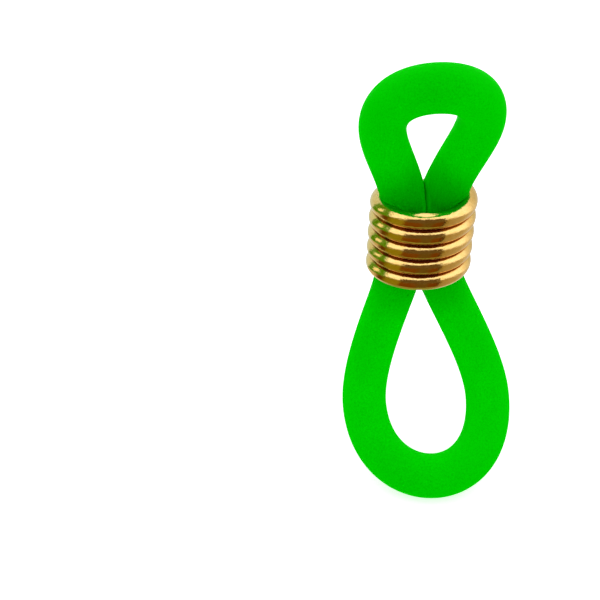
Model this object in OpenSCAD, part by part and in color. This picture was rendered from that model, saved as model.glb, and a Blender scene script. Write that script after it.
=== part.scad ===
// Adjustable loop connector: one moulded rubber ring, pinched into a figure of eight by a
// close-wound wire coil. The coil slides along the pinched strands, and so opens one eye
// as it closes the other.
//
// Frame: +Z along the coil's axis towards the grip loop, +X across the loops, and -Y the
// side that both loops curl towards. The origin is the centre of the grip loop's eye.
// Loop sizes are flat sizes, before the loop curls, measured from the coil's centre.

/* [Rubber strand] */
// Diameter of the round strand
strand_d = 1.95; // [1.85:0.05:2.05]
// Distance from the coil's axis to each strand's centre, inside the coil
pinch_x = 0.8; // [0.76:0.01:0.84]
// Share of the strand's width that is left where the coil squeezes it
squeeze = 0.82; // [0.8:0.01:0.9]
// Length over which a strand regains its round section outside the coil
recovery = 0.6; // [0.4:0.05:0.9]

/* [Grip loop] */
// Height where the strands start to part
grip_throat_z = 0.98; // [0.8:0.02:1.2]
// Half of the loop's width, at the strand's centre
grip_half_w = 1.98; // [1.8:0.02:2.2]
// Height of the loop's widest place
grip_widest_z = 5.94; // [5.6:0.02:6.2]
// Height of the strand's centre at the loop's end
grip_end_z = 9.14; // [8.9:0.02:9.6]
// Pull of the outline's curve at the throat and at the side, as shares of the rise between them
grip_side_pulls = [0.34, 0.35]; // [0.2:0.01:0.45]
// Pull of the outline's curve at the side and at the end, as shares of the end's height and width
grip_end_pulls = [0.5, 0.54]; // [0.45:0.01:0.62]
// Angle that the loop curls through by its end
grip_curl = 52; // [40:1:65]
// Sideways lean of the loop
grip_lean = -2.5; // [-6:0.5:6]
// Turn of the loop's end about the coil's axis
grip_turn = -1; // [-6:0.5:6]

/* [Cord loop] */
// Depth where the strands start to part
cord_throat_z = 1.46; // [1.2:0.02:1.6]
// Half of the loop's width, at the strand's centre
cord_half_w = 2.78; // [2.5:0.02:3]
// Depth of the loop's widest place
cord_widest_z = 7.92; // [7.4:0.02:8.2]
// Depth of the strand's centre at the loop's end
cord_end_z = 11.52; // [11.2:0.02:12]
// Pull of the outline's curve at the throat and at the side, as shares of the rise between them
cord_side_pulls = [0.21, 0.33]; // [0.2:0.01:0.45]
// Pull of the outline's curve at the side and at the end, as shares of the end's height and width
cord_end_pulls = [0.6, 0.53]; // [0.45:0.01:0.62]
// Angle that the loop curls through by its end
cord_curl = 69; // [50:1:80]
// Sideways lean of the loop
cord_lean = 5; // [-6:0.5:6]
// Turn of the loop's end about the coil's axis
cord_turn = -4; // [-6:0.5:6]

/* [Wire coil] */
// Diameter of the wire
wire_d = 0.71; // [0.68:0.01:0.72]
// Rise of the wire in each turn
coil_pitch = 0.73; // [0.73:0.01:0.76]
// Outer diameter of the coil
coil_od = 4.57; // [4.5:0.01:4.65]
// Number of turns
coil_turns = 5; // [4:1:6]
// Direction, seen from the grip loop, in which the wire's upper end points from the axis
wire_end_angle = 60; // [0:5:90]

/* [Hidden] */

// Slip that is left between rubber and wire, and between the two strands
slip = 0.03;
// Length over which a loop's lean sets in
lean_onset = 1.3;
// Bevel that is left on the wire's cut ends
wire_bevel = 0.08;
// Facets of the strand's and the wire's sections, and steps along each curve and each turn
strand_sides = 16;
wire_sides = 10;
curve_steps = 12;
turn_steps = 36;

wire_path_r = (coil_od - wire_d) / 2;
coil_end_z = coil_turns * coil_pitch / 2;
squeezed_r = squeeze * strand_d / 2;
far = 100;

// One loop's settings: throat, half-width, widest place, end, pulls, curl, lean and turn
grip_loop = [grip_throat_z, grip_half_w, grip_widest_z, grip_end_z,
    grip_side_pulls, grip_end_pulls, grip_curl, grip_lean, grip_turn];
cord_loop = [cord_throat_z, cord_half_w, cord_widest_z, cord_end_z,
    cord_side_pulls, cord_end_pulls, cord_curl, cord_lean, cord_turn];

grip_eye = curl([0, grip_widest_z], grip_loop)[0];

function unit(v) = v / norm(v);

function smooth(t) = let (c = min(max(t, 0), 1)) c * c * (3 - 2 * c);

function spin(v, a) = [v.x * cos(a) - v.y * sin(a), v.x * sin(a) + v.y * cos(a), v.z];

function bezier(p, t) =
    pow(1 - t, 3) * p[0] + 3 * pow(1 - t, 2) * t * p[1]
    + 3 * (1 - t) * t * t * p[2] + t * t * t * p[3];

// Flat centreline of one loop, as [across, along] points from its +X strand round to its
// -X strand: an S-curve up each side, and a rounded end between them
function outline(loop) =
    let (throat = loop[0], half_w = loop[1], widest = loop[2], end = loop[3],
        side_pulls = loop[4] * (widest - throat), end_rise = loop[5][0] * (end - widest),
        side = [[pinch_x, throat], [pinch_x, throat + side_pulls[0]],
            [half_w, widest - side_pulls[1]], [half_w, widest]],
        crown = [[half_w, widest], [half_w, widest + end_rise],
            [loop[5][1] * half_w, end], [0, end]],
        right = concat(
            [for (i = [0:1:curve_steps - 1]) bezier(side, i / curve_steps)],
            [for (i = [0:1:curve_steps - 1]) bezier(crown, i / curve_steps)]),
        left = [for (i = [len(right) - 1:-1:0]) [-right[i].x, right[i].y]])
    concat(right, [[0, end]], left);

// Where a flat point goes when its loop leans, curls towards -Y and turns, and the
// direction square to the curled loop there
function curl(p, loop) =
    let (throat = loop[0], end = loop[3], lean = loop[7],
        past = max(p.y - throat, 0),
        radius = (end - throat) * 180 / (PI * loop[6]),
        along = past * cos(lean) - p.x * sin(lean) * min(past / lean_onset, 1),
        angle = along / radius * 180 / PI,
        turned = loop[8] * past / (end - throat))
    [spin([p.x * cos(lean) + past * sin(lean), radius * (cos(angle) - 1),
            min(p.y, throat) + radius * sin(angle)], turned),
        spin([0, -cos(angle), -sin(angle)], turned)];

// Radius that clears the coil's bore, and the round of its end turns, at height z
function clear_r(z) =
    let (past = max(abs(z) - coil_end_z, 0), reach = wire_d / 2 + slip)
    past < reach ? wire_path_r - sqrt(reach * reach - past * past) : far;

function in_bore(p) =
    let (r = norm([p.x, p.y]), scale = min(clear_r(p.z) / max(r, slip), 1))
    [p.x * scale, p.y * scale, p.z];

// Keeps a strand's point on its own side of the plane between it and the strand across
function own_side(p, centre, across) =
    let (apart = centre - across, side = apart / max(norm(apart), slip),
        depth = (p - (centre + across) / 2) * side)
    norm(apart) > slip && depth < slip ? p + (slip - depth) * side : p;

// Rings of points around one loop's strand, from its +X side to its -X side
function loop_rings(loop) =
    let (flat = outline(loop), last = len(flat) - 1,
        bent = [for (p = flat) curl(p, loop)])
    [for (i = [0:1:last])
        let (centre = bent[i][0], normal = bent[i][1],
            ends = i == 0 || i == last,
            tangent = ends ? [0, 0, i == 0 ? 1 : -1] : unit(bent[i + 1][0] - bent[i - 1][0]),
            inward = unit(cross(normal, tangent)),
            round = smooth((flat[i].y - loop[0]) / recovery),
            wide = squeezed_r + (strand_d / 2 - squeezed_r) * round,
            deep = pow(strand_d / 2, 2) / wide)
        [for (j = [0:1:strand_sides - 1])
            let (a = 360 * j / strand_sides,
                p = centre + wide * cos(a) * inward + deep * sin(a) * normal)
            flat[i].y < loop[2] ? in_bore(own_side(p, centre, bent[last - i][0])) : p]];

// Skin around a row of rings, open with two end caps or closed on itself
module sweep(rings, closed) {
    count = len(rings);
    sides = len(rings[0]);
    walls = [for (i = [0:1:count - (closed ? 1 : 2)], j = [0:1:sides - 1])
        let (next = (i + 1) % count, beside = (j + 1) % sides)
        [next * sides + j, next * sides + beside, i * sides + beside, i * sides + j]];
    caps = closed ? [] : [
        [for (j = [0:1:sides - 1]) j],
        [for (j = [sides - 1:-1:0]) (count - 1) * sides + j]];
    polyhedron([for (ring = rings) each ring], concat(walls, caps), convexity = 12);
}

module rubber_ring() {
    grip = loop_rings(grip_loop);
    cord = [for (ring = loop_rings(cord_loop)) [for (p = ring) [p.x, p.y, -p.z]]];
    color("limegreen")
        translate(-grip_eye)
            sweep(concat(grip, [for (i = [len(cord) - 1:-1:0]) cord[i]]), true);
}

// One round section of the wire, a share of a turn below its upper end
function wire_ring(turn, r) =
    let (a = wire_end_angle - 360 * turn, out = [cos(a), sin(a), 0],
        along = unit([-sin(a), cos(a), coil_pitch / (2 * PI * wire_path_r)]),
        up = cross(out, along),
        centre = wire_path_r * out + [0, 0, coil_end_z - turn * coil_pitch])
    [for (j = [0:1:wire_sides - 1])
        centre + r * cos(360 * j / wire_sides) * out + r * sin(360 * j / wire_sides) * up];

module wire_coil() {
    steps = coil_turns * turn_steps;
    bevel_turn = wire_bevel / (2 * PI * wire_path_r);
    inner = [for (i = [1:1:steps - 1]) wire_ring(i / turn_steps, wire_d / 2)];
    ends = [
        wire_ring(0, wire_d / 2 - wire_bevel),
        wire_ring(bevel_turn, wire_d / 2),
        wire_ring(coil_turns - bevel_turn, wire_d / 2),
        wire_ring(coil_turns, wire_d / 2 - wire_bevel)];
    color("goldenrod")
        translate(-grip_eye)
            sweep(concat([ends[0], ends[1]], inner, [ends[2], ends[3]]), false);
}

rubber_ring();
wire_coil();
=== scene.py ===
"""Looks of a small adjustable loop connector: a green rubber ring that a gold wire coil pinches into an 8.

The coil's axis is +Z, both loops curl towards -Y, and the camera looks down at them from that side.
Sizes are in millimetres and angles in degrees, and MM takes a size into the frame's metres.
"""
import math

import bpy
import numpy as np
from mathutils import Matrix, Vector


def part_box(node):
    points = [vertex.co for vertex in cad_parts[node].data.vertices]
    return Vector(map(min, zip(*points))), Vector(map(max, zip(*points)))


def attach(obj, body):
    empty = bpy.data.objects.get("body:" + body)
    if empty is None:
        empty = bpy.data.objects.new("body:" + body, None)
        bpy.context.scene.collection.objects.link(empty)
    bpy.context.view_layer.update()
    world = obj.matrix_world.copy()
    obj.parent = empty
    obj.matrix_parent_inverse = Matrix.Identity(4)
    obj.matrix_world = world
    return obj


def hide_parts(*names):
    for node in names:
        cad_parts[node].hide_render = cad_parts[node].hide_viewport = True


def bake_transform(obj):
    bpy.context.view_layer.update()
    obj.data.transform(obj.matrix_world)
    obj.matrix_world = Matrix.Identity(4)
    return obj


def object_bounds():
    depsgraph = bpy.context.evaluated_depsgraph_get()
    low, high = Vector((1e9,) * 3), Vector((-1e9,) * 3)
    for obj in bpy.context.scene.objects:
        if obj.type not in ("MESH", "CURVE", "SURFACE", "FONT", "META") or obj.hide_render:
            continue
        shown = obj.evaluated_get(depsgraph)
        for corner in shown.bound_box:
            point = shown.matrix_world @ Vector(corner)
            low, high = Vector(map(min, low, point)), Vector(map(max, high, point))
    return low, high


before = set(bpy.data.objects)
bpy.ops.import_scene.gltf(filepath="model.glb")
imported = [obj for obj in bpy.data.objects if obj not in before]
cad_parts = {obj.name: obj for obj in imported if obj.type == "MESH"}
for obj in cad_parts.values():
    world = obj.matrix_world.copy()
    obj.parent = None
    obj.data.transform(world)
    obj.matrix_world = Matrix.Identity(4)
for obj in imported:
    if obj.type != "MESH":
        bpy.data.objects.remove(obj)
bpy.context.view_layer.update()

MM = 0.001
TINY = 1e-6

# Rubber strand, and how far its centre is from the coil's axis inside the coil
STRAND_R = 0.975
PINCH_X = 0.8

# The strand's section inside the coil: its reach from the centre outwards, inwards and to the front and
# back, and how square its outer and inner halves are, where 2 is round
PRESSED_OUTWARD = 0.8
PRESSED_INWARD = 0.975
PRESSED_DEEP = 1.4
OUTER_FULLNESS = 2.3
INNER_FULLNESS = 4.0

# Lengths over which each reach goes back to round outside the coil
OUTWARD_RECOVERY = 0.6
INWARD_RECOVERY = 0.8
DEPTH_RECOVERY = 2.0

# Where the rubber meets the wire: how softly the bore holds it, and how steeply it may widen above
BORE_SOFTNESS = 0.03
BULGE_SLOPE = 2.0

# Where the strands meet: half the gap that is left between them, and how softly they flatten
CONTACT_GAP = 0.004
CONTACT_SOFTNESS = 0.02

# Rounding of the crease between the two pressed strands: its width on each side, how far its bottom is
# raised, and the overlap over which it sets in
CREASE_WIDTH = 0.28
CREASE_RISE = 0.12
CREASE_ONSET = 0.1

# Painted shade and light on the rubber: how far the painted shade reaches from the coil, and how wide and
# how strong the painted light is in the valley between the strands, in the crease at its bottom, and along
# the wire
SHADE_REACH = 2.6
VALLEY_WIDTH = 0.7
VALLEY_LIFT = 0.3
CLEFT_WIDTH = 0.24
CLEFT_LIFT = 0.7
CONTACT_REACH = 0.16
CONTACT_LIFT = 0.6

# The painted light along the valley: its share of its whole strength at the coil's end, and, as shares of
# SHADE_REACH, how far out it is whole and how far out it starts to fade
MOUTH_SHARE = 0.45
WHOLE_FROM = 0.45
FADES_FROM = 0.5

# How far on each side of the coil's axis one strand's painted side light gives way to the other's
SIDE_LIGHT_CHANGE = 0.5

# Wire coil: the direction of its upper end from the axis, the bevel on its cut ends, the turn over which
# the rubber evens out the step at an end, and how far the turns stray from one radius
WIRE_R = 0.364
COIL_PITCH = 0.73
COIL_TURNS = 5
COIL_PATH_R = 1.93
WIRE_END_ANGLE = 60
WIRE_BEVEL = 0.07
STEP_TURN = 25
WIRE_WANDER = 0.006

# Each loop, measured flat from the coil's centre: where its strands part, its widest place and its end,
# the pulls of its outline's curves, and how far it curls, leans and turns. Its last three entries are
# painted shade and light: how much painted shade darkens it at the coil and away from it, and how much
# painted light lightens its inner side beyond its middle on the -X and +X strands, where the first value
# of that pair is also how much painted shade darkens its outer side
GRIP = {
    "up": 1, "throat": 0.98, "half_w": 1.98, "widest": 5.94, "end": 9.14,
    "side_pulls": (0.34, 0.35), "end_pulls": (0.5, 0.54), "curl": 52, "lean": -2.5, "turn": -1,
    "painted_shade": 0.54, "painted_far_shade": 0.12, "painted_side_light": (0.05, 0.18),
}
CORD = {
    "up": -1, "throat": 1.46, "half_w": 2.78, "widest": 7.92, "end": 11.52,
    "side_pulls": (0.21, 0.33), "end_pulls": (0.6, 0.53), "curl": 69, "lean": 5, "turn": -4,
    "painted_shade": 0.34, "painted_far_shade": 0.065, "painted_side_light": (0.09, 0.11),
}

# Length over which a loop's lean sets in
LEAN_ONSET = 1.3

# Mesh fineness: points on each curve of an outline, points round each section, rubber step length, and
# wire steps in each turn
CURVE_POINTS = 400
STRAND_SIDES = 72
STRAND_STEP = 0.07
WIRE_SIDES = 40
WIRE_STEPS = 144

coil_low, coil_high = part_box("wire_coil")
COIL_CENTRE = np.array((coil_low + coil_high) / 2) / MM
COIL_END_Z = COIL_TURNS * COIL_PITCH / 2


# ---------------------------------------------------------------- shapes

def smooth(t):
    c = np.clip(t, 0, 1)
    return c * c * (3 - 2 * c)


def soft_limit(value, limit, round_off):
    """value, bent smoothly so that it never passes limit."""
    return limit - round_off * np.logaddexp(0, (limit - value) / round_off)


def spin(points, degrees):
    c, s = np.cos(np.radians(degrees)), np.sin(np.radians(degrees))
    x, y, z = points.T
    return np.stack([x * c - y * s, x * s + y * c, z], 1)


def bezier(*points):
    t = np.linspace(0, 1, CURVE_POINTS)[:, None]
    a, b, c, d = np.array(points, float)
    return (1 - t) ** 3 * a + 3 * (1 - t) ** 2 * t * b + 3 * (1 - t) * t * t * c + t ** 3 * d


def evenly(points, step):
    """The same line with points evenly spaced, about step apart and mirrored alike on both halves."""
    reach = np.concatenate([[0], np.cumsum(np.linalg.norm(np.diff(points, axis=0), axis=1))])
    count = 2 * int(round(reach[-1] / step / 2)) + 1
    at = np.linspace(0, reach[-1], count)
    return np.stack([np.interp(at, reach, points[:, k]) for k in range(points.shape[1])], 1)


def outline(loop):
    """Flat centreline as (across, along), from the coil's middle up the +X strand and down the other."""
    rise, crown = loop["widest"] - loop["throat"], loop["end"] - loop["widest"]
    w, widest, end, throat = loop["half_w"], loop["widest"], loop["end"], loop["throat"]
    low_pull, high_pull = loop["side_pulls"]
    side = bezier((PINCH_X, throat), (PINCH_X, throat + low_pull * rise),
                  (w, widest - high_pull * rise), (w, widest))
    top = bezier((w, widest), (w, widest + loop["end_pulls"][0] * crown),
                 (loop["end_pulls"][1] * w, end), (0, end))
    right = np.vstack([[(PINCH_X, 0)], side, top[1:]])
    return evenly(np.vstack([right, right[-2::-1] * (-1, 1)]), STRAND_STEP)


def curled(flat, loop):
    """Where flat points go when the loop leans, curls and turns, and the direction square to it there."""
    across, along = flat.T
    lean = math.radians(loop["lean"])
    past = np.maximum(along - loop["throat"], 0)
    length = loop["end"] - loop["throat"]
    radius = length / math.radians(loop["curl"])
    run = past * math.cos(lean) - across * math.sin(lean) * np.minimum(past / LEAN_ONSET, 1)
    angle = run / radius
    turned = loop["turn"] * past / length
    middle = np.stack([across * math.cos(lean) + past * math.sin(lean), radius * (np.cos(angle) - 1),
                       np.minimum(along, loop["throat"]) + radius * np.sin(angle)], 1)
    square = np.stack([0 * angle, -np.cos(angle), -np.sin(angle)], 1)
    return spin(middle, turned), spin(square, turned)


def rim_height(points, up):
    """Height of the wire's centre in the coil's last turn, at each point's direction from the axis.

    The last turn drops away from its cut end by one pitch, and STEP_TURN evens out the step at that end.
    """
    direction = np.degrees(np.arctan2(points[..., 1], points[..., 0]))
    behind = ((WIRE_END_ANGLE - direction) * up) % 360
    drop = behind / 360 * (1 - smooth((behind - 360 + STEP_TURN) / STEP_TURN))
    return COIL_END_Z - drop * COIL_PITCH


def held_in_coil(points, up):
    """Keeps points of rubber inside the bore, and lets them bulge over the round of the last turn."""
    radius = np.linalg.norm(points[..., :2], axis=-1)
    past = np.maximum(points[..., 2] - rim_height(points, up), 0)
    inside = COIL_PATH_R - np.sqrt(np.maximum(WIRE_R ** 2 - past ** 2, 0))
    limit = inside + BULGE_SLOPE * np.maximum(past - WIRE_R, 0)
    scale = soft_limit(radius, limit, BORE_SOFTNESS) / np.maximum(radius, TINY)
    return np.concatenate([points[..., :2] * scale[..., None], points[..., 2:]], -1)


def apart(points, centre, across, square):
    """Flattens a strand where it presses on the one across from it, and rounds off the crease between."""
    gap = centre - across
    width = np.linalg.norm(gap, axis=1)[:, None, None]
    side = gap[:, None, :] / np.maximum(width, TINY)
    depth = ((points - (centre + across)[:, None, :] / 2) * side).sum(-1, keepdims=True)
    kept = -soft_limit(-depth, -CONTACT_GAP, CONTACT_SOFTNESS)
    pressed = smooth((STRAND_R - width / 2) / CREASE_ONSET)
    raised = CREASE_RISE * pressed * (1 - smooth(kept / CREASE_WIDTH))
    front = np.sign(((points - centre[:, None]) * square[:, None]).sum(-1, keepdims=True))
    return points + (kept - depth) * side + raised * front * square[:, None]


def loop_rings(loop):
    """Rings of points round the loop's strand, in coil axes, shape (rings, sides, 3)."""
    flat = outline(loop)
    centre, square = curled(flat, loop)
    tangent = np.gradient(centre, axis=0)
    tangent /= np.linalg.norm(tangent, axis=1)[:, None]
    inward = np.cross(square, tangent)
    inward /= np.linalg.norm(inward, axis=1)[:, None]
    past = (flat[:, 1] - loop["throat"])[:, None]
    turn = np.linspace(0, 2 * math.pi, STRAND_SIDES, endpoint=False)[None]
    inner = np.cos(turn) > 0
    outward, inward_late, deep_late = (
        1 - smooth(past / length) for length in (OUTWARD_RECOVERY, INWARD_RECOVERY, DEPTH_RECOVERY))
    wide = STRAND_R + np.where(inner, (PRESSED_INWARD - STRAND_R) * inward_late,
                               (PRESSED_OUTWARD - STRAND_R) * outward)
    deep = STRAND_R + (PRESSED_DEEP - STRAND_R) * deep_late
    fullness = 2 + np.where(inner, (INNER_FULLNESS - 2) * inward_late, (OUTER_FULLNESS - 2) * deep_late)
    reach = (np.abs(np.cos(turn)) ** fullness + np.abs(np.sin(turn)) ** fullness) ** (-1 / fullness)
    rings = (centre[:, None]
             + (wide * reach * np.cos(turn))[..., None] * inward[:, None]
             + (deep * reach * np.sin(turn))[..., None] * square[:, None])
    pressed = apart(rings, centre, centre[::-1], square)
    low = (flat[:, 1] < loop["widest"])[:, None, None]
    rings = held_in_coil(np.where(low, pressed, rings), loop["up"])
    rings[..., 2] *= loop["up"]
    return rings if loop["up"] > 0 else rings[::-1]


def wire_rings():
    """Rings of points round the wire, from its upper end down to its lower one, in coil axes."""
    turn_length = 2 * math.pi * COIL_PATH_R
    cut = np.array([0, 0.3, 0.7, 1.0, 1.6]) * WIRE_BEVEL / turn_length
    cut_r = WIRE_R - WIRE_BEVEL * (1 - np.sin(np.array([0, 0.3, 0.7, 1.0, 1.0]) * math.pi / 2))
    body = np.linspace(cut[-1] * 2, COIL_TURNS - cut[-1] * 2, COIL_TURNS * WIRE_STEPS)
    at = np.concatenate([cut, body, (COIL_TURNS - cut)[::-1]])
    thick = np.concatenate([cut_r, np.full(len(body), WIRE_R), cut_r[::-1]])
    angle = np.radians(WIRE_END_ANGLE - 360 * at)
    out = np.stack([np.cos(angle), np.sin(angle), 0 * angle], 1)
    along = np.stack([-np.sin(angle), np.cos(angle), 0 * angle + COIL_PITCH / turn_length], 1)
    along /= np.linalg.norm(along, axis=1)[:, None]
    up = np.cross(out, along)
    # A slow wave that falls differently on each turn
    path_r = COIL_PATH_R + WIRE_WANDER * np.sin(angle * 0.73 + 1.0)
    centre = path_r[:, None] * out
    centre[:, 2] = COIL_END_Z - at * COIL_PITCH
    turn = np.linspace(0, 2 * math.pi, WIRE_SIDES, endpoint=False)
    return (centre[:, None]
            + (thick[:, None] * np.cos(turn))[..., None] * out[:, None]
            + (thick[:, None] * np.sin(turn))[..., None] * up[:, None])


def rubber_marks(rings, loop):
    """Painted shade and light at each point of the rubber: one mark darkens it as painted shade, most near
    the coil, and the other lightens the narrow gaps and the line along the wire as painted light.
    """
    upright = rings * (1, 1, loop["up"])
    middle = upright.mean(1)[:, None]
    outside = (middle[..., 2] - COIL_END_Z) / SHADE_REACH
    near = 1 - smooth(outside)

    # Painted side light and shade: each strand is lighter on its inner side and darker on its outer side,
    # by how each point faces
    facing = np.cos(np.linspace(0, 2 * math.pi, rings.shape[1], endpoint=False))
    on_side = np.interp(middle[..., 0], (-SIDE_LIGHT_CHANGE, SIDE_LIGHT_CHANGE), loop["painted_side_light"])
    painted_side_light = np.where(facing > 0, on_side, loop["painted_side_light"][0])
    # Painted shade: a base amount away from the coil, with the painted side light and shade on it, growing
    # to the whole amount near the coil
    painted_far_shade = loop["painted_far_shade"] - painted_side_light * facing
    painted_shade = painted_far_shade + near * (loop["painted_shade"] - painted_far_shade)

    # Painted light in the valley and the crease between the pressed strands, fading out away from the coil
    gap = middle - middle[::-1]
    from_cleft = upright - (middle + middle[::-1]) / 2
    aside = np.abs((from_cleft * gap).sum(-1)) / np.maximum(np.linalg.norm(gap, axis=-1), TINY)
    valley = (VALLEY_LIFT * (1 - smooth(aside / VALLEY_WIDTH))
              + CLEFT_LIFT * (1 - smooth(aside / CLEFT_WIDTH)))
    onset = MOUTH_SHARE + (1 - MOUTH_SHARE) * smooth(outside / WHOLE_FROM)
    valley *= onset * (1 - smooth(outside - FADES_FROM))
    # Painted light along the line where the rubber meets the wire
    off_path = np.hypot(COIL_PATH_R - np.linalg.norm(upright[..., :2], axis=-1),
                        upright[..., 2] - rim_height(upright, loop["up"]))
    contact = CONTACT_LIFT * (1 - smooth((off_path - WIRE_R) / CONTACT_REACH)) * near
    return {"painted_shade": painted_shade.ravel(), "painted_light": np.maximum(valley, contact).ravel()}


def sweep(name, rings, marks):
    """A closed mesh through rings of points. In its UV map, U is the length in millimetres, V the turn."""
    count, sides = rings.shape[:2]
    points = (rings.reshape(-1, 3) + COIL_CENTRE) * MM
    i, j = np.meshgrid(np.arange(count - 1), np.arange(sides), indexing="ij")
    beside = (j + 1) % sides
    walls = np.stack([i * sides + j, i * sides + beside, (i + 1) * sides + beside, (i + 1) * sides + j], -1)
    faces = [tuple(f) for f in walls.reshape(-1, 4).tolist()]
    faces += [tuple(range(sides - 1, -1, -1)), tuple((count - 1) * sides + k for k in range(sides))]
    mesh = bpy.data.meshes.new(name)
    mesh.from_pydata(points.tolist(), [], faces)
    middle = rings.mean(1)
    length = np.concatenate([[0], np.cumsum(np.linalg.norm(np.diff(middle, axis=0), axis=1))])
    uv = np.zeros((len(mesh.loops), 2))
    wall_u = np.stack([length[i], length[i], length[i + 1], length[i + 1]], -1).reshape(-1)
    wall_v = np.stack([j, j + 1, j + 1, j], -1).reshape(-1) / sides
    uv[:len(wall_u)] = np.stack([wall_u, wall_v], 1)
    uv[len(wall_u):, 0] = np.repeat([0, length[-1]], sides)
    uv[len(wall_u):, 1] = np.tile(np.arange(sides) / sides, 2)
    mesh.uv_layers.new(name="UVMap").data.foreach_set("uv", uv.ravel())
    for mark, values in marks.items():
        mesh.attributes.new(mark, "FLOAT", "POINT").data.foreach_set("value", values)
    mesh.polygons.foreach_set("use_smooth", [True] * (len(faces) - 2) + [False] * 2)
    mesh.validate()
    piece = bpy.data.objects.new(name, mesh)
    bpy.context.scene.collection.objects.link(piece)
    return piece


# ---------------------------------------------------------------- materials

class Nodes:
    """A short way to build the node tree of a material or of the world."""

    def __init__(self, owner):
        owner.use_nodes = True
        self.owner = owner
        self.tree = owner.node_tree
        self.shader = self.tree.nodes.get("Principled BSDF") or self.tree.nodes["Background"]

    def add(self, kind, inputs=(), **settings):
        node = self.tree.nodes.new(kind)
        for key, value in settings.items():
            setattr(node, key, value)
        for key, value in dict(inputs).items():
            self.put(node.inputs[key], value)
        return node

    def put(self, socket, value):
        if isinstance(value, bpy.types.NodeSocket):
            self.tree.links.new(value, socket)
        else:
            socket.default_value = value

    def set(self, **inputs):
        for key, value in inputs.items():
            self.put(self.shader.inputs[key.replace("_", " ")], value)

    def noise(self, vector, scale, detail=2.0, rough=0.5):
        return self.add("ShaderNodeTexNoise", {
            "Vector": vector, "Scale": scale, "Detail": detail, "Roughness": rough}).outputs["Fac"]

    def span(self, value, low, high, to_low, to_high):
        return self.add("ShaderNodeMapRange", {
            "Value": value, "From Min": low, "From Max": high, "To Min": to_low, "To Max": to_high,
        }).outputs["Result"]

    def mix(self, share, a, b):
        node = self.add("ShaderNodeMix", data_type="RGBA")
        self.put(node.inputs[0], share)
        self.put(node.inputs[6], a)
        self.put(node.inputs[7], b)
        return node.outputs[2]

    def ramp(self, value, *colours):
        """The colour that goes with value, through (value, colour) pairs."""
        low, high = colours[0][0], colours[-1][0]
        node = self.add("ShaderNodeValToRGB", {"Fac": self.span(value, low, high, 0, 1)})
        stops = node.color_ramp.elements
        for _ in colours[2:]:
            stops.new(0.5)
        for stop, (at, colour) in zip(stops, colours):
            stop.position, stop.color = (at - low) / (high - low), (*colour, 1)
        return node.outputs["Color"]

    def within(self, value, low, high, edge):
        """1 where value is between low and high, else 0, with edges that soft."""
        return self.math("MULTIPLY", self.span(value, low, low + edge, 0, 1),
                         self.span(value, high - edge, high, 1, 0))

    def math(self, operation, a, b=0.0):
        node = self.add("ShaderNodeMath", operation=operation)
        self.put(node.inputs[0], a)
        self.put(node.inputs[1], b)
        return node.outputs[0]


def silicone():
    """Bright green moulded silicone: satin, slightly translucent, with a fine grain and a few specks."""
    n = Nodes(bpy.data.materials.new("green_silicone"))
    # These coordinates are in metres, so a scale of 1000 makes a pattern about a millimetre wide
    place = n.add("ShaderNodeTexCoord").outputs["Object"]
    cloud = n.noise(place, 420, 3)
    grain = n.noise(place, 14000, 2)
    speck = n.noise(place, 2600, 1)
    body = n.mix(n.span(cloud, 0.35, 0.65, 0, 1), (0.0, 0.66, 0.0, 1), (0.0, 0.70, 0.0, 1))
    grained = n.mix(n.span(grain, 0.3, 0.7, -0.3, 0.5), body, (0.0, 0.50, 0.0, 1))
    specked = n.mix(n.span(speck, 0.78, 0.84, 0, 0.5), grained, (0.0, 0.25, 0.0, 1))
    painted_shade = n.add("ShaderNodeAttribute", attribute_name="painted_shade").outputs["Fac"]
    painted_light = n.add("ShaderNodeAttribute", attribute_name="painted_light").outputs["Fac"]
    # Painted shade: the colour turns to a dark green near the coil and on the loops' outer sides
    shaded = n.mix(painted_shade, specked, (0.0, 0.12, 0.0, 1))
    # Painted light: the colour turns to a light green in the gaps between the strands and along the wire
    colour = n.mix(painted_light, shaded, (0.0, 0.95, 0.0, 1))
    rough = n.span(cloud, 0.3, 0.7, 0.5, 0.62)
    bump = n.add("ShaderNodeBump", {"Height": grain, "Strength": 0.35, "Distance": 0.012 * MM})
    wave = n.add("ShaderNodeBump", {"Height": cloud, "Strength": 0.5, "Distance": 0.04 * MM,
                                    "Normal": bump.outputs["Normal"]})
    n.set(Base_Color=colour, Roughness=rough, Normal=wave.outputs["Normal"])
    n.set(IOR=1.41, Specular_IOR_Level=0.01, Subsurface_Weight=1.0, Subsurface_Scale=1.4 * MM,
          Subsurface_Radius=(0.3, 1.0, 0.3))
    return n.owner


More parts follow.
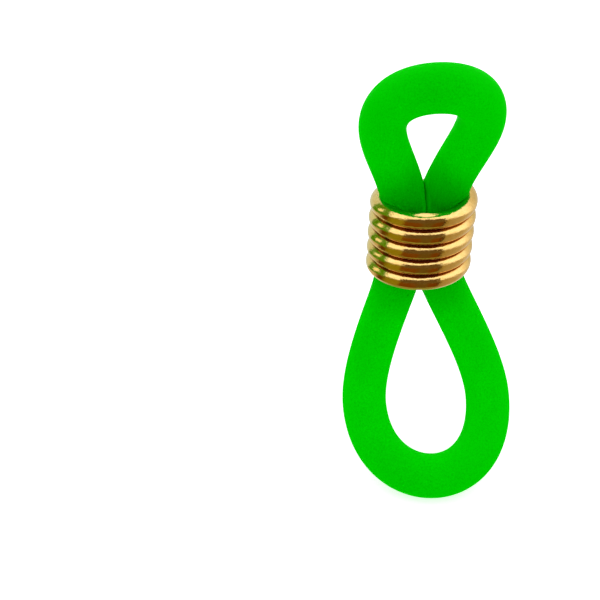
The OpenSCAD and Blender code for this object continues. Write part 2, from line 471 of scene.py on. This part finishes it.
def gold_wire():
    """Polished gold-coloured wire: drawn lines, a fine mottle, slight dents, and darker, browner gold
    between turns and inside the bore.
    """
    n = Nodes(bpy.data.materials.new("gold_wire"))
    uv = n.add("ShaderNodeSeparateXYZ", {"Vector": n.add("ShaderNodeTexCoord").outputs["UV"]})
    turn = n.math("MULTIPLY", uv.outputs["Y"], 2 * math.pi)
    sine, cosine = n.math("SINE", turn), n.math("COSINE", turn)
    across = n.math("MULTIPLY", cosine, WIRE_R)
    upward = n.math("MULTIPLY", sine, WIRE_R)

    # Darker, browner gold: on each turn's top and bottom where the next turn lies on it, and inside the
    # bore
    one_turn = math.hypot(2 * math.pi * COIL_PATH_R, COIL_PITCH)
    last_turn = (COIL_TURNS - 1) * one_turn
    above = n.math("MULTIPLY", n.span(sine, 0.79, 0.9, 0, 1),
                   n.span(uv.outputs["X"], one_turn - 0.2, one_turn + 0.2, 0, 1))
    below = n.math("MULTIPLY", n.span(sine, -0.75, -0.55, 1, 0),
                   n.span(uv.outputs["X"], last_turn - 0.2, last_turn + 0.2, 1, 0))
    inside = n.span(cosine, -0.5, -0.15, 0.8, 0)
    darker_gold = n.math("MAXIMUM", n.math("MAXIMUM", above, below), inside)

    def place(stretch):
        """Millimetres on the wire, shortened along it so that the pattern is that much longer than wide."""
        return n.add("ShaderNodeCombineXYZ", {
            "X": n.math("DIVIDE", uv.outputs["X"], stretch), "Y": across, "Z": upward}).outputs[0]

    lines = n.noise(place(8.0), 14.0, 3)
    mottle = n.noise(place(1.8), 9.0, 3, 0.6)
    dents = n.noise(place(2.5), 2.0, 2)
    fleck = n.noise(place(1.3), 22.0, 2, 0.7)
    gold = n.mix(n.span(mottle, 0.35, 0.65, 0, 1), (0.91, 0.56, 0.14, 1), (0.97, 0.66, 0.20, 1))
    gold = n.mix(n.span(fleck, 0.35, 0.65, 0.35, 0), gold, (0.70, 0.38, 0.08, 1))
    colour = n.mix(darker_gold, gold, (0.58, 0.26, 0.04, 1))
    rough = n.span(mottle, 0.3, 0.7, 0.06, 0.20)
    fine = n.add("ShaderNodeBump", {"Height": lines, "Strength": 0.25, "Distance": 0.008 * MM})
    hammered = n.add("ShaderNodeBump", {"Height": mottle, "Strength": 0.5, "Distance": 0.02 * MM,
                                        "Normal": fine.outputs["Normal"]})
    dent = n.add("ShaderNodeBump", {"Height": dents, "Strength": 0.5, "Distance": 0.04 * MM,
                                    "Normal": hammered.outputs["Normal"]})
    n.set(Base_Color=colour, Roughness=rough, Normal=dent.outputs["Normal"])
    n.set(Metallic=1.0)
    return n.owner


# ---------------------------------------------------------------- the object

def build_object():
    rubber, gold = silicone(), gold_wire()
    grip, cord = (sweep(name, rings, rubber_marks(rings, loop)) for name, rings, loop in (
        ("grip_loop", loop_rings(GRIP), GRIP), ("cord_loop", loop_rings(CORD), CORD)))
    coil = sweep("coil_wire", wire_rings(), {})
    for piece, material, slot in ((grip, rubber, "green_rubber"), (cord, rubber, "green_rubber"),
                                  (coil, gold, "gold_wire")):
        piece.data.materials.append(material)
    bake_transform(grip)
    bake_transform(cord)
    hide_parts("rubber_ring")
    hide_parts("rubber_ring")
    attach(coil, "coil")
    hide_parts("wire_coil")
    cord.visible_glossy = False


# ---------------------------------------------------------------- floor, light and camera

# Floor, and the gap that is left under the object
FLOOR_SIZE = 3000
FLOOR_GAP = 0.02

# Camera: how far it is turned about +Z, raised, rolled and away, and where it aims from FIT_POINT
VIEW_TURN = 5.8
VIEW_RISE = 31.9
VIEW_ROLL = 2.2
VIEW_DISTANCE = 56.1
FIT_POINT = COIL_CENTRE - (0, 0, 0.242)
AIM_RIGHT = -5.226
AIM_DOWN = 2.8
SENSOR = 36.0
LENS = 77.4


def camera_axes():
    """The camera's right, down and forward directions."""
    def turned(degrees):
        c, s = math.cos(math.radians(degrees)), math.sin(math.radians(degrees))
        return np.array([[c, -s, 0], [s, c, 0], [0, 0, 1]])

    c, s = math.cos(math.radians(VIEW_RISE)), math.sin(math.radians(VIEW_RISE))
    look = np.array([[1, 0, 0], [0, -s, -c], [0, c, -s]])
    return turned(VIEW_ROLL) @ look @ turned(VIEW_TURN)


def make_camera():
    right, down, forward = camera_axes()
    place = FIT_POINT + AIM_RIGHT * right + AIM_DOWN * down - VIEW_DISTANCE * forward
    data = bpy.data.cameras.new("camera")
    data.sensor_width, data.lens = SENSOR, LENS
    data.clip_start, data.clip_end = 1 * MM, 5000 * MM
    camera = bpy.data.objects.new("camera", data)
    camera.matrix_world = Matrix.Translation(Vector(place * MM)) @ Matrix(
        np.stack([right, -down, -forward], 1).tolist()).to_4x4()
    bpy.context.scene.collection.objects.link(camera)
    bpy.context.scene.camera = camera


def make_floor():
    half = FLOOR_SIZE / 2 * MM
    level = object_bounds()[0].z - FLOOR_GAP * MM
    corners = [(x * half, y * half, level) for x, y in ((-1, -1), (1, -1), (1, 1), (-1, 1))]
    mesh = bpy.data.meshes.new("floor")
    mesh.from_pydata(corners, [], [(0, 1, 2, 3)])
    floor = bpy.data.objects.new("floor", mesh)
    bpy.context.scene.collection.objects.link(floor)
    n = Nodes(bpy.data.materials.new("pale_floor"))
    place = n.add("ShaderNodeTexCoord").outputs["Object"]
    n.set(Base_Color=n.mix(n.noise(place, 60, 2), (0.88, 0.88, 0.88, 1), (0.9, 0.9, 0.9, 1)))
    n.set(Roughness=0.8, Specular_IOR_Level=0.2, Emission_Color=(1, 1, 1, 1), Emission_Strength=0.6)
    floor.data.materials.append(n.owner)
    floor.visible_diffuse = False
    floor.visible_glossy = False


def mirrored_room(n, ray):
    """Colour of the room that polished metal mirrors, for a mirrored ray's direction.

    The room is laid out by the direction half way between the ray and the lens, which is the way that a
    mirror would have to face: aside is 0 towards the lens and 1 at 45 degrees to its right, and upward
    is 1 at 45 degrees above level.
    """
    level, height = math.cos(math.radians(VIEW_RISE)), math.sin(math.radians(VIEW_RISE))
    toward = n.math("MAXIMUM", n.math("SUBTRACT", level, ray["Y"]), 0.02)
    aside = n.math("DIVIDE", ray["X"], toward)
    upward = n.math("DIVIDE", n.math("ADD", ray["Z"], height), toward)

    # Pale walls and sky, a mid-brown middle, and the table
    sky, pale, tan = (1.38, 1.48, 1.95), (0.85, 0.85, 0.75), (0.62, 0.58, 0.46)
    left, right = (0.70, 0.86, 0.95), (0.66, 0.68, 0.68)
    brown, leaf = (0.13, 0.06, 0.0), (0.30, 0.36, 0.12)
    top = n.ramp(aside, (-4, left), (-2, (0.9, 0.9, 0.9)), (-0.9, sky), (1.2, sky),
                 (2, (0.9, 0.9, 1.0)), (4, right))
    middle = n.ramp(aside, (-4, left), (-1.5, tan), (-1.2, brown), (-0.95, brown),
                    (-0.8, (0.27, 0.27, 0.01)), (0.35, (0.32, 0.26, 0.04)), (0.6, (0.43, 0.36, 0.24)),
                    (1.0, (0.50, 0.44, 0.34)), (1.6, (0.68, 0.66, 0.7)), (4, right))
    table = n.ramp(aside, (-1, pale), (-0.4, leaf), (0.4, leaf), (1, pale))
    room = n.mix(n.span(upward, -0.62, -0.5, 0, 1), table, middle)
    room = n.mix(n.span(upward, 0.5, 0.72, 0, 1), room, top)

    # A dark figure at the lens, in three shades side by side
    red, dun, black = (0.18, 0.06, 0.0), (0.145, 0.098, 0.02), (0.03, 0.01, 0.0)
    dark = n.ramp(aside, (-0.42, (0.19, 0.068, 0.0)), (-0.1, (0.19, 0.065, 0.0)), (0.0, dun), (0.15, dun),
                  (0.22, red), (0.36, red), (0.38, black), (0.445, black))
    dark = n.mix(n.span(upward, 0.25, 0.35, 0, 1), dark, (0.134, 0.094, 0.04, 1))
    dark = n.mix(n.span(upward, -0.32, -0.28, 0, 1), table, dark)
    figure = n.math("MULTIPLY", n.within(aside, -0.42, 0.445, 0.03), n.span(upward, 0.85, 0.92, 1, 0))
    room = n.mix(figure, room, dark)

    # A second green loop to the left, with light through its eye
    loop = n.math("MULTIPLY", n.within(aside, -3.5, -0.87, 0.1), n.span(upward, 0.32, 0.4, 0, 1))
    eye = n.math("MULTIPLY", n.within(aside, -2.0, -1.35, 0.1), n.within(upward, 0.9, 2.0, 0.1))
    return n.mix(loop, room, n.mix(eye, (0.10, 0.33, 0.0, 1), (1.2, 1.25, 1.3, 1)))


def make_light():
    """A white light tent, slightly dimmer from below. Mirrored rays see a painted room instead."""
    world = bpy.data.worlds.new("light_tent")
    bpy.context.scene.world = world
    n = Nodes(world)
    ray = n.add("ShaderNodeVectorRotate", {
        "Vector": n.add("ShaderNodeTexCoord").outputs["Generated"], "Angle": math.radians(VIEW_TURN)},
        rotation_type="Z_AXIS").outputs[0]
    ray = n.add("ShaderNodeSeparateXYZ", {"Vector": ray}).outputs
    white = n.mix(n.span(ray["Z"], -0.3, 0.3, 0, 1), (0.82, 0.82, 0.82, 1), (1, 1, 1, 1))
    mirrored = n.add("ShaderNodeLightPath").outputs["Is Glossy Ray"]
    n.set(Color=n.mix(mirrored, white, mirrored_room(n, ray)), Strength=1.0)


build_object()
make_floor()
make_light()
make_camera()
bpy.context.scene.view_settings.view_transform = "Standard"
